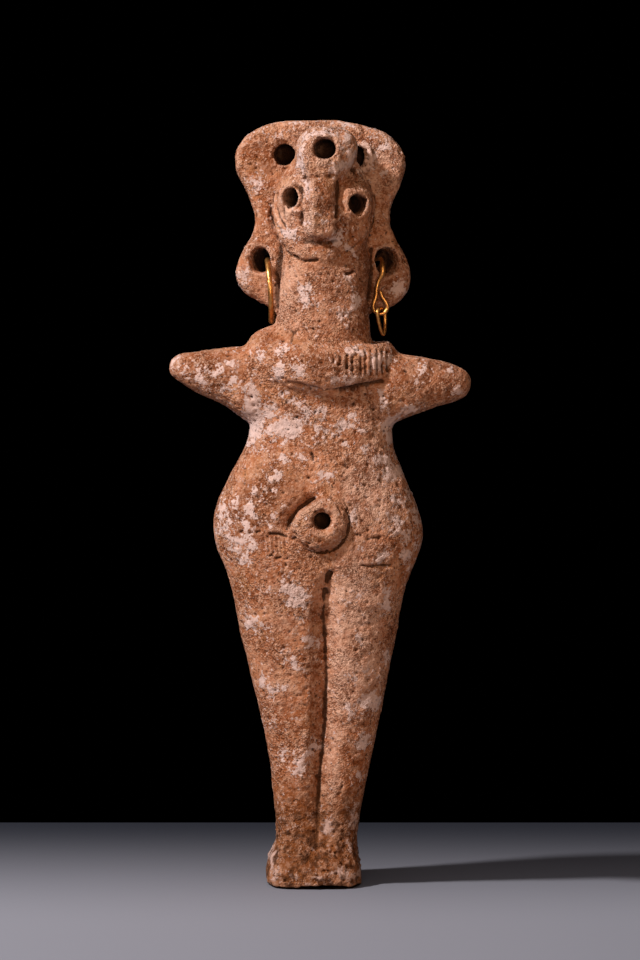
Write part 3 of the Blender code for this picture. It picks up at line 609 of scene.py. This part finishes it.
def softenSkin(points, edges, sharp):
    # smoothed, with most of what that took from the big forms given back, then shaped
    away = np.array([sharp.find(p)[2] for p in points])
    share = 0.06 + 0.44 * fade(away, 0.1, skin["crisp"])
    soft = relax(points, edges, skin["soften"], share)
    soft += relax(points - soft, edges, skin["soften"], share)
    soft[:, 1] += legRounding(soft) + bossRounding(soft) + nosePlane(soft)
    soft[:, 1] += bossGroove(soft) + rimWear(soft)
    soft[:, 2] += baseWear(soft)
    return soft


def roughness(points, normals):
    # the sides, the back and the base's edge are smoother, the ankles rougher
    rough = 0.4 + 0.6 * fade(-normals[:, 1], 0, 0.5)
    rough *= (0.3 + 0.7 * fade(points[:, 2], 0, 3)) * (1 + 0.7 * fade(points[:, 2], 16, 8))
    return rough


def sinkPits(lift, points, rough, tree, rng):
    for pit in range(skin["pits"]):
        size = rng.uniform(*skin["pitSize"])
        deep = rng.uniform(*skin["pitDepth"])
        for spot, index, distance in tree.find_range(points[rng.randrange(len(points))], size):
            lift[index] -= deep * rough[index] * (1 - (distance / size) ** 2)


def raiseCrumbs(lift, points, rough, tree, rng):
    # returns how much of a grain each point is
    crumbs = np.zeros(len(points))
    for cluster in range(skin["crumbs"]):
        middle = points[rng.randrange(len(points))]
        spread = rng.uniform(*skin["crumbSpread"])
        for grain in range(rng.randint(*skin["crumbGrains"])):
            centre = Vector(middle) + Vector([rng.gauss(0, spread) for axis in range(3)])
            size = rng.uniform(*skin["crumbSize"])
            tall = rng.uniform(*skin["crumbHeight"])
            for spot, index, distance in tree.find_range(tree.find(centre)[0], size):
                bump = math.sqrt(1 - (distance / size) ** 2)
                lift[index] += tall * rough[index] * bump
                crumbs[index] = max(crumbs[index], bump)
    return crumbs


def hiddenPatches(points, normals, tree, rng):
    # patches of slip where the front ones don't reach: middle, radius and the points near it
    hidden = []
    while len(hidden) < skin["hiddenSlip"]:
        centre = rng.randrange(len(points))
        if normals[centre, 1] < 0.15:
            continue
        radius = rng.uniform(0.5, 1.2) ** 3 * 1.1 + 0.3
        near = np.array([found[1] for found in tree.find_range(points[centre], 2.5 * radius)])
        hidden.append((points[centre], radius, near))
    return hidden


def thinSkin(piece, normals):
    # fewer triangles, and most of all on the back
    group = piece.vertex_groups.new(name="thin")
    for level in range(11):
        chosen = np.where(np.round(10 * fade(normals[:, 1], -0.2, 0.4)) == level)[0]
        group.add(chosen.tolist(), 0.3 + 0.07 * level, "REPLACE")
    triangles = sum(len(face.vertices) - 2 for face in piece.data.polygons)
    thin = piece.modifiers.new("thin", "DECIMATE")
    thin.ratio = min(1.0, skin["triangles"] / triangles)
    thin.vertex_group = "thin"
    thin.vertex_group_factor = 0.6
    mesh = settle(piece)
    piece.vertex_groups.clear()
    print("skin thinned from", triangles, "to", len(mesh.polygons), "triangles")
    return mesh


def buildSkin():
    piece = takeNode("idol", "clayIdol")
    addBlocks(piece)
    sharp = sharpSpots(piece.data)
    remesh = piece.modifiers.new("grid", "REMESH")
    remesh.mode = "VOXEL"
    remesh.voxel_size = skin["voxel"] * mm
    remesh.adaptivity = 0
    mesh = settle(piece)
    edges = readArray(mesh.edges, "vertices", int, 2)
    points = softenSkin(readPoints(mesh), edges, sharp)
    writePoints(mesh, points)
    normals = readNormals(mesh)
    print("skin softened:", len(points), "points")

    rough = roughness(points, normals)
    lift = np.zeros(len(points))
    for order, (size, height, octaves) in enumerate(skin["lumps"]):
        lift += height * grainAt(points, size, octaves, order + 1) * (rough if size < 4 else 1)
    rng = random.Random(skin["seed"])
    tree = kdtree.KDTree(len(points))
    for index, point in enumerate(points):
        tree.insert(point, index)
    tree.balance()
    sinkPits(lift, points, rough, tree, rng)
    crumbs = raiseCrumbs(lift, points, rough, tree, rng)
    slip = slipCover(points, normals, hiddenPatches(points, normals, tree, rng))
    slip += skin["crumbSlip"] * crumbs
    holeShade = paintHoleShade(points, normals)
    tone = stainLightAndShadeTone(points, normals)
    marks = markDepth(points, fade(-normals[:, 1], 0.05, 0.35))
    lift -= marks
    lift += skin["slipLift"] * fade(slip, 0.5, 0.8)
    points = points + normals * lift[:, None]
    writePoints(mesh, points)
    # the hollows, deepened along the tool marks, carry the soil and the painted shade; the rises carry the
    # wear
    even = relax(points, edges, skin["hollowRounds"], 0.5)
    hollow = ((even - points) * readNormals(mesh)).sum(1)
    hollow += skin["markShade"] * np.maximum(marks, 0)
    for name, values in (("slip", slip), ("tone", tone), ("hollow", hollow), ("holeShade", holeShade)):
        layer = mesh.attributes.new(name, "FLOAT", "POINT")
        layer.data.foreach_set("value", values.astype(np.float32))
    print("skin sculpted")
    thinSkin(piece, normals).shade_smooth()
    return piece


def addNode(tree, kind, **settings):
    node = tree.nodes.new(kind)
    for name, value in settings.items():
        setattr(node, name, value)
    return node


def setInputs(node, **values):
    for name, value in values.items():
        node.inputs[name].default_value = value
    return node


def startGroup(name, inputs, outputs):
    # a node group, with a texture's scale worked out from its Size in millimetres
    group = bpy.data.node_groups.new(name, "ShaderNodeTree")
    for socketName, value in inputs.items():
        socket = group.interface.new_socket(socketName, in_out="INPUT", socket_type="NodeSocketFloat")
        socket.default_value = value
    for socketName in outputs:
        group.interface.new_socket(socketName, in_out="OUTPUT", socket_type="NodeSocketFloat")
    entry = addNode(group, "NodeGroupInput")
    leave = addNode(group, "NodeGroupOutput")
    place = addNode(group, "ShaderNodeTexCoord")
    scale = addNode(group, "ShaderNodeMath", operation="DIVIDE")
    scale.inputs[0].default_value = 1000.0
    group.links.new(entry.outputs["Size"], scale.inputs[1])
    return group, entry, leave, place.outputs["Object"], scale.outputs[0]


def speckleGroup():
    # soft-edged specks: a noise of the given size, cut between Low and High
    inputs = {"Size": 1.0, "Low": 0.45, "High": 0.55, "Detail": 2.0, "Seed": 0.0}
    group, entry, leave, place, scale = startGroup("speckle", inputs, ["Mask"])
    pattern = addNode(group, "ShaderNodeTexNoise", noise_dimensions="4D")
    ramp = addNode(group, "ShaderNodeMapRange", interpolation_type="SMOOTHSTEP")
    link = group.links.new
    link(place, pattern.inputs["Vector"])
    link(scale, pattern.inputs["Scale"])
    link(entry.outputs["Detail"], pattern.inputs["Detail"])
    link(entry.outputs["Seed"], pattern.inputs["W"])
    link(pattern.outputs["Fac"], ramp.inputs["Value"])
    link(entry.outputs["Low"], ramp.inputs["From Min"])
    link(entry.outputs["High"], ramp.inputs["From Max"])
    link(ramp.outputs["Result"], leave.inputs["Mask"])
    return group


def grainsGroup():
    # sand: rounded grains of the given size, each with a height and a tone of its own
    group, entry, leave, place, scale = startGroup("grains", {"Size": 0.5}, ["Height", "Tone"])
    cells = addNode(group, "ShaderNodeTexVoronoi")
    dome = addNode(group, "ShaderNodeMapRange", interpolation_type="SMOOTHSTEP")
    setInputs(dome, **{"From Min": 0.65, "From Max": 0.05})
    tone = addNode(group, "ShaderNodeSeparateColor")
    tall = addNode(group, "ShaderNodeMath", operation="MULTIPLY")
    link = group.links.new
    link(place, cells.inputs["Vector"])
    link(scale, cells.inputs["Scale"])
    link(cells.outputs["Distance"], dome.inputs["Value"])
    link(cells.outputs["Color"], tone.inputs[0])
    link(dome.outputs["Result"], tall.inputs[0])
    link(tone.outputs[1], tall.inputs[1])
    link(tall.outputs[0], leave.inputs["Height"])
    link(tone.outputs[0], leave.inputs["Tone"])
    return group


speckle = speckleGroup()
grains = grainsGroup()


def newMaterial(name):
    material = bpy.data.materials.new(name)
    material.use_nodes = True
    tree = material.node_tree
    return material, tree, tree.nodes["Principled BSDF"]


def addSpeckle(tree, size, low, high, detail, seed):
    node = addNode(tree, "ShaderNodeGroup", node_tree=speckle)
    setInputs(node, Size=size, Low=low, High=high, Detail=detail, Seed=seed)
    return node.outputs["Mask"]


def addAxis(tree, name):
    # the point's own x, y or z, in metres
    place = addNode(tree, "ShaderNodeTexCoord")
    axes = addNode(tree, "ShaderNodeSeparateXYZ")
    tree.links.new(place.outputs["Object"], axes.inputs[0])
    return axes.outputs[name]


def addAttribute(tree, name):
    return addNode(tree, "ShaderNodeAttribute", attribute_name=name).outputs["Fac"]


def addMath(tree, operation, first, second):
    node = addNode(tree, "ShaderNodeMath", operation=operation)
    for socket, value in zip(node.inputs, (first, second)):
        if isinstance(value, (int, float)):
            socket.default_value = value
        else:
            tree.links.new(value, socket)
    return node.outputs[0]


def addSum(tree, first, second):
    return addMath(tree, "ADD", first, second)


def addProduct(tree, first, second):
    return addMath(tree, "MULTIPLY", first, second)


def addGreater(tree, first, second):
    return addMath(tree, "MAXIMUM", first, second)


def addRamp(tree, value, low, high, bottom=0.0, top=1.0):
    node = addNode(tree, "ShaderNodeMapRange", interpolation_type="SMOOTHSTEP")
    tree.links.new(value, node.inputs["Value"])
    setInputs(node, **{"From Min": low, "From Max": high, "To Min": bottom, "To Max": top})
    return node.outputs["Result"]


def addMix(tree, factor, first, second):
    node = addNode(tree, "ShaderNodeMix", data_type="RGBA")
    for socket, value in ((node.inputs[0], factor), (node.inputs[6], first), (node.inputs[7], second)):
        if isinstance(value, tuple):
            socket.default_value = (*value, 1.0)
        else:
            tree.links.new(value, socket)
    return node.outputs[2]


def addBump(tree, shader, height, strength, distance):
    bump = setInputs(addNode(tree, "ShaderNodeBump"), Strength=strength, Distance=distance * mm)
    tree.links.new(height, bump.inputs["Height"])
    tree.links.new(bump.outputs["Normal"], shader.inputs["Normal"])


clay = {
    "deep": (0.25, 0.072, 0.023),
    "pale": (0.45, 0.19, 0.10),
    "leg": (0.25, 0.072, 0.022),
    "foot": (0.15, 0.048, 0.011),
    "neck": (0.44, 0.20, 0.12),
    "ochre": (0.38, 0.185, 0.08),
    "tan": (0.465, 0.24, 0.15),
    "wash": (0.50, 0.28, 0.212),
    "slip": (0.535, 0.38, 0.345),
    # painted shade in the pores of the fine relief, and dull sand grains
    "poreShadeAndDullGrain": (0.135, 0.032, 0.007),
    # crests: painted light on the fine relief, worn crests and paler places
    "crest": (0.56, 0.335, 0.245),
    # dark stains, partly painted shade
    "darkStainAndShade": (0.15, 0.048, 0.018),
    # soil and painted shade in the hollows, tool marks and pinholes
    "soilAndShade": (0.03, 0.010, 0.004),
    # dark specks on the foot
    "darkFootSpecks": (0.055, 0.018, 0.006),
    # painted shade, near black, deep inside the holes
    "hole": (0.011, 0.004, 0.002),
    "rough": 0.95,
    "shine": 0.12,
    "grain": 0.5,
    "bump": 0.6,
    "legFrom": (0.085, 0.010),  # metres up, where these colours come in
    "footFrom": (0.028, 0.010),
    "neckFrom": (0.121, 0.126),
    "neckTo": (0.141, 0.136),
    "washFrom": (1.17, 1.26),  # how much of the slip is left where it shows, thin or thick
    "coatFrom": (1.26, 1.30),
}
# Patterns in the clay: size, where the noise is cut, detail and seed.
specks = {
    "body": (7, 0.34, 0.66, 4, 1),
    "ochre": (5, 0.5, 0.7, 3, 4),
    "tan": (1.6, 0.44, 0.64, 5, 2),
    "freckle": (0.6, 0.5, 0.66, 3, 3),
    "darkFootSpecks": (1.8, 0.47, 0.62, 5, 16),
    "ragged": (2.4, 0.3, 0.7, 6, 13),  # the broken edges of the stains and of the painted light and shade
    "coarse": (0.95, 0.2, 0.8, 5, 10),
    "fine": (0.4, 0.25, 0.75, 4, 11),
    "swing": (7, 0.3, 0.7, 4, 15),  # smoother and rougher places
    "thick": (1.5, 0.3, 0.6, 4, 14),
    "fleck": (0.9, 0.64, 0.68, 3, 7),
    "flake": (0.75, 0.6, 0.64, 4, 17),
    "pinhole": (0.6, 0.62, 0.68, 2, 9),
    "pitted": (3.5, 0.4, 0.6, 3, 12),  # where the pinholes are
}
# Scales at which the slip is broken: size, detail, seed and share.
slipBreaks = [(3.2, 9, 5, 0.5), (1.2, 6, 8, 0.55), (0.5, 4, 6, 0.45)]


def addSpecks(tree, name, amount=None):
    mask = addSpeckle(tree, *specks[name])
    return mask if amount is None else addProduct(tree, mask, amount)


def addRelief(tree, sand):
    # the clay's fine relief, around 0.45
    coarse = addSpecks(tree, "coarse", 0.4)
    fine = addSpecks(tree, "fine", 0.35)
    grit = addProduct(tree, sand.outputs["Height"], 0.35)
    relief = addSum(tree, addSum(tree, coarse, fine), grit)
    swing = addRamp(tree, addSpecks(tree, "swing"), 0, 1, 0.35, 1.25)
    return addSum(tree, 0.45, addProduct(tree, addMath(tree, "SUBTRACT", relief, 0.45), swing))


def clayMaterial():
    material, tree, shader = newMaterial("firedClay")
    setInputs(shader, **{"Roughness": clay["rough"], "Specular IOR Level": clay["shine"]})
    height = addAxis(tree, "Z")
    leg = addRamp(tree, height, *clay["legFrom"])
    foot = addRamp(tree, height, *clay["footFrom"])
    neck = addRamp(tree, height, *clay["neckFrom"])
    neck = addProduct(tree, neck, addRamp(tree, height, *clay["neckTo"]))
    slip = addAttribute(tree, "slip")
    hollow = addAttribute(tree, "hollow")
    tone = addAttribute(tree, "tone")

    # the clay body: broad and small patches of colour, redder in the legs, pinker in the neck
    colour = addMix(tree, addSpecks(tree, "body"), clay["deep"], clay["pale"])
    colour = addMix(tree, addSpecks(tree, "ochre", 0.5), colour, clay["ochre"])
    colour = addMix(tree, addProduct(tree, leg, 0.75), colour, clay["leg"])
    colour = addMix(tree, addProduct(tree, foot, 0.75), colour, clay["foot"])
    colour = addMix(tree, addProduct(tree, neck, 0.6), colour, clay["neck"])
    colour = addMix(tree, addSpecks(tree, "tan", 0.8), colour, clay["tan"])
    colour = addMix(tree, addSpecks(tree, "freckle", 0.35), colour, clay["deep"])
    ragged = addRamp(tree, addSpecks(tree, "ragged"), 0, 1, 0.5, 1.5)
    # paler and darker places: real stains, and painted light and painted shade
    for end, amount, name in ((1, 0.6, "crest"), (-1, 0.65, "darkStainAndShade")):
        stainedLitAndShaded = addProduct(tree, addProduct(tree, addRamp(tree, tone, 0, end), ragged), amount)
        colour = addMix(tree, stainedLitAndShaded, colour, clay[name])

    # sand: grains of their own tone, and a fine relief with painted shade in its pores and painted light on
    # its crests
    sand = setInputs(addNode(tree, "ShaderNodeGroup", node_tree=grains), Size=clay["grain"])
    relief = addRelief(tree, sand)
    paleGrainsAndCrestLight = addProduct(tree, addRamp(tree, sand.outputs["Tone"], 0.7, 0.95), 0.3)
    paleGrainsAndCrestLight = addGreater(tree, paleGrainsAndCrestLight, addProduct(tree, addRamp(tree, relief, 0.46, 0.66), 0.7))
    colour = addMix(tree, paleGrainsAndCrestLight, colour, clay["crest"])
    dullGrainsAndPoreShade = addProduct(tree, addRamp(tree, sand.outputs["Tone"], 0.3, 0.05), 0.3)
    dullGrainsAndPoreShade = addGreater(tree, dullGrainsAndPoreShade, addProduct(tree, addRamp(tree, relief, 0.44, 0.26), 0.72))
    colour = addMix(tree, dullGrainsAndPoreShade, colour, clay["poreShadeAndDullGrain"])

    # the slip: a thin wash that thickens to a pale coat, broken at every scale, and loose flakes of it
    cover = slip
    for size, detail, seed, share in slipBreaks:
        broken = addSpeckle(tree, size, 0.12, 0.88, detail, seed)
        cover = addSum(tree, cover, addProduct(tree, broken, share))
    wash = addRamp(tree, cover, *clay["washFrom"])
    coat = addRamp(tree, cover, *clay["coatFrom"])
    thick = addRamp(tree, addSpecks(tree, "thick"), 0, 1, 0.7, 0.95)
    flakes = addSpecks(tree, "flake", addRamp(tree, slip, 0.22, 0.38, 0, 0.8))
    flakes = addGreater(tree, addSpecks(tree, "fleck", 0.75), flakes)
    colour = addMix(tree, addProduct(tree, wash, 0.5), colour, clay["wash"])
    colour = addMix(tree, addGreater(tree, addProduct(tree, coat, thick), flakes), colour, clay["slip"])

    # soil and painted shade in the hollows, tool marks and pinholes, worn crests, darker towards the bottom
    # with dark specks on the foot, and painted shade deep in the big holes
    pinhole = addSpecks(tree, "pinhole", addSpecks(tree, "pitted"))
    soilAndShade = addProduct(tree, addRamp(tree, hollow, 0.03, 0.3), 0.85)
    colour = addMix(tree, addGreater(tree, soilAndShade, addProduct(tree, pinhole, 0.75)), colour, clay["soilAndShade"])
    worn = addProduct(tree, addRamp(tree, hollow, -0.05, -0.2), 0.4)
    colour = addMix(tree, worn, colour, clay["crest"])
    # darker towards the bottom, with dark specks on the foot
    colour = addMix(tree, addProduct(tree, foot, 0.4), colour, clay["foot"])
    darkFootSpecks = addSpecks(tree, "darkFootSpecks", addProduct(tree, foot, 0.85))
    colour = addMix(tree, darkFootSpecks, colour, clay["darkFootSpecks"])
    # painted shade deep inside the holes
    colour = addMix(tree, addProduct(tree, addAttribute(tree, "holeShade"), 0.97), colour, clay["hole"])
    tree.links.new(colour, shader.inputs["Base Color"])

    # the coat fills the relief and stands above it, and the pinholes sink into both
    flat = addMath(tree, "SUBTRACT", 1.0, addProduct(tree, coat, 0.65))
    relief = addSum(tree, addProduct(tree, relief, flat), addProduct(tree, coat, 0.45))
    relief = addMath(tree, "SUBTRACT", relief, addProduct(tree, pinhole, 0.6))
    addBump(tree, shader, relief, 1.0, clay["bump"])
    return material


gold = {
    "bright": (0.72, 0.38, 0.12),
    "warm": (0.48, 0.21, 0.065),
    "tarnish": (0.13, 0.05, 0.015),
    "patches": (1.4, 0.35, 0.65, 3, 20),  # patterns as in the clay
    "dirt": (0.8, 0.56, 0.68, 4, 21),
    "dents": (0.9, 0.25, 0.75, 2, 22),
    "levels": 2,
    "swell": 1.6,  # the wire's bulk against the CAD wire's, to make up for its rounding
}


def goldMaterial():
    material, tree, shader = newMaterial("oldGold")
    setInputs(shader, Metallic=1.0)
    colour = addMix(tree, addSpeckle(tree, *gold["patches"]), gold["bright"], gold["warm"])
    dirt = addSpeckle(tree, *gold["dirt"])
    colour = addMix(tree, addProduct(tree, dirt, 0.8), colour, gold["tarnish"])
    tree.links.new(colour, shader.inputs["Base Color"])
    tree.links.new(addRamp(tree, dirt, 0, 1, 0.42, 0.7), shader.inputs["Roughness"])
    addBump(tree, shader, addSpeckle(tree, *gold["dents"]), 0.5, 0.1)
    return material


def bulkOf(mesh):
    # a mesh's volume and surface
    shape = bmesh.new()
    shape.from_mesh(mesh)
    volume = shape.calc_volume()
    surface = sum(face.calc_area() for face in shape.faces)
    shape.free()
    return volume, surface


def buildEarring(node, name, material):
    piece = takeNode(node, name)
    full = bulkOf(piece.data)[0]
    soften = piece.modifiers.new("round", "SUBSURF")
    soften.levels = gold["levels"]
    soften.render_levels = gold["levels"]
    mesh = settle(piece)
    volume, surface = bulkOf(mesh)
    swell = (full * gold["swell"] - volume) / surface
    writePoints(mesh, readPoints(mesh) + readNormals(mesh) * swell / mm)
    mesh.shade_smooth()
    mesh.materials.append(material)
    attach(piece, "root")
    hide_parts(node)
    print(name, "made:", len(mesh.polygons), "faces")
    return piece


body = buildSkin()
body.data.materials.append(clayMaterial())
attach(body, "root")
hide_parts("idol")

goldFinish = goldMaterial()
hoop = buildEarring("left_earring", "hoopEarring", goldFinish)
hook = buildEarring("right_earring", "hookEarring", goldFinish)
drop = buildEarring("right_earring_drop", "earringDrop", goldFinish)

room = {
    "floorBack": 59,  # how far the pale floor goes behind the idol
    "floorFront": 1200,
    "floorSide": 900,
    "floorColour": (0.343, 0.33, 0.376),
    "floorShade": (0.02, 0.022, 0.032),  # where the floor runs out of the light
    "shadeFrom": -42,
    "shadeTo": 62,
    "surround": (0.04, 0.025, 0.016),
    "aim": (0, 0, 85),  # what the lights point at
}


def buildFloor():
    shape = bmesh.new()
    bmesh.ops.create_grid(shape, x_segments=1, y_segments=1, size=0.5)
    deep = (room["floorFront"] + room["floorBack"]) * mm
    bmesh.ops.scale(shape, vec=(2 * room["floorSide"] * mm, deep, 1), verts=shape.verts)
    middle = (room["floorBack"] - room["floorFront"]) / 2 * mm
    bmesh.ops.translate(shape, vec=(0, middle, -0.05 * mm), verts=shape.verts)
    floor = addObject("floor", makeMesh("floor", shape))
    material, tree, shader = newMaterial("paleFloor")
    back = addRamp(tree, addAxis(tree, "Y"), room["shadeFrom"] * mm, room["shadeTo"] * mm)
    colour = addMix(tree, back, room["floorColour"], room["floorShade"])
    tree.links.new(colour, shader.inputs["Base Color"])
    setInputs(shader, **{"Roughness": 0.85, "Specular IOR Level": 0.2})
    floor.data.materials.append(material)
    return floor


# Lights: direction round the idol from the front and up (degrees), distance, width, power in watts,
# colour, and what each one lights. The floor has a key of its own, for one clean shadow.
lights = {
    "key": ((-56, 43), 900, 64, 13.3, (1.0, 0.98, 0.96), "idol"),
    "floorKey": ((-80, 46), 900, 60, 7.75, (1.0, 1.0, 1.0), "floor"),
    "fill": ((6, 12), 700, 260, 2.02, (1.0, 0.7, 0.45), "idol"),
    "floorFill": ((0, 85), 900, 700, 1.4, (0.88, 0.94, 1.0), "floor"),
    "behind": ((176, 8), 700, 300, 1.6, (0.95, 0.97, 1.0), "clay"),
}


def buildLights(pieces, floor):
    lit = {name: bpy.data.collections.new("lit" + name) for name in ("idol", "clay", "floor")}
    for piece in pieces:
        lit["idol"].objects.link(piece)
    lit["clay"].objects.link(pieces[0])
    lit["floor"].objects.link(floor)
    for name, ((turn, rise), away, width, power, tint, onto) in lights.items():
        lamp = bpy.data.lights.new(name, "AREA")
        lamp.shape = "DISK"
        lamp.size = width * mm
        lamp.energy = power
        lamp.color = tint
        turn = math.radians(turn)
        rise = math.radians(rise)
        side = Vector((math.sin(turn) * math.cos(rise), -math.cos(turn) * math.cos(rise), math.sin(rise)))
        stand = addObject(name, lamp)
        stand.location = Vector(room["aim"]) * mm + side * away * mm
        stand.rotation_euler = (-side).to_track_quat("-Z", "Y").to_euler()
        stand.light_linking.receiver_collection = lit[onto]


def buildSurround():
    # the surroundings glow a little but look black
    world = bpy.data.worlds.new("room")
    scene.world = world
    world.use_nodes = True
    tree = world.node_tree
    path = addNode(tree, "ShaderNodeLightPath")
    seen = addMix(tree, path.outputs["Is Camera Ray"], room["surround"], (0, 0, 0))
    tree.links.new(seen, tree.nodes["Background"].inputs["Color"])
    scene.view_settings.view_transform = "Standard"
    scene.view_settings.look = "None"


camera = {
    "place": (0, -600, 145),
    "tilt": 5.2,  # degrees below level
    "lens": 101.5,
}


def buildCamera():
    view = bpy.data.cameras.new("camera")
    view.lens = camera["lens"]
    view.sensor_width = 36
    view.clip_start = 0.01
    stand = addObject("camera", view)
    stand.location = Vector(camera["place"]) * mm
    stand.rotation_euler = (math.radians(90 - camera["tilt"]), 0, 0)
    scene.camera = stand


buildLights([body, hoop, hook, drop], buildFloor())
buildSurround()
buildCamera()
print("floor, lights and camera set")
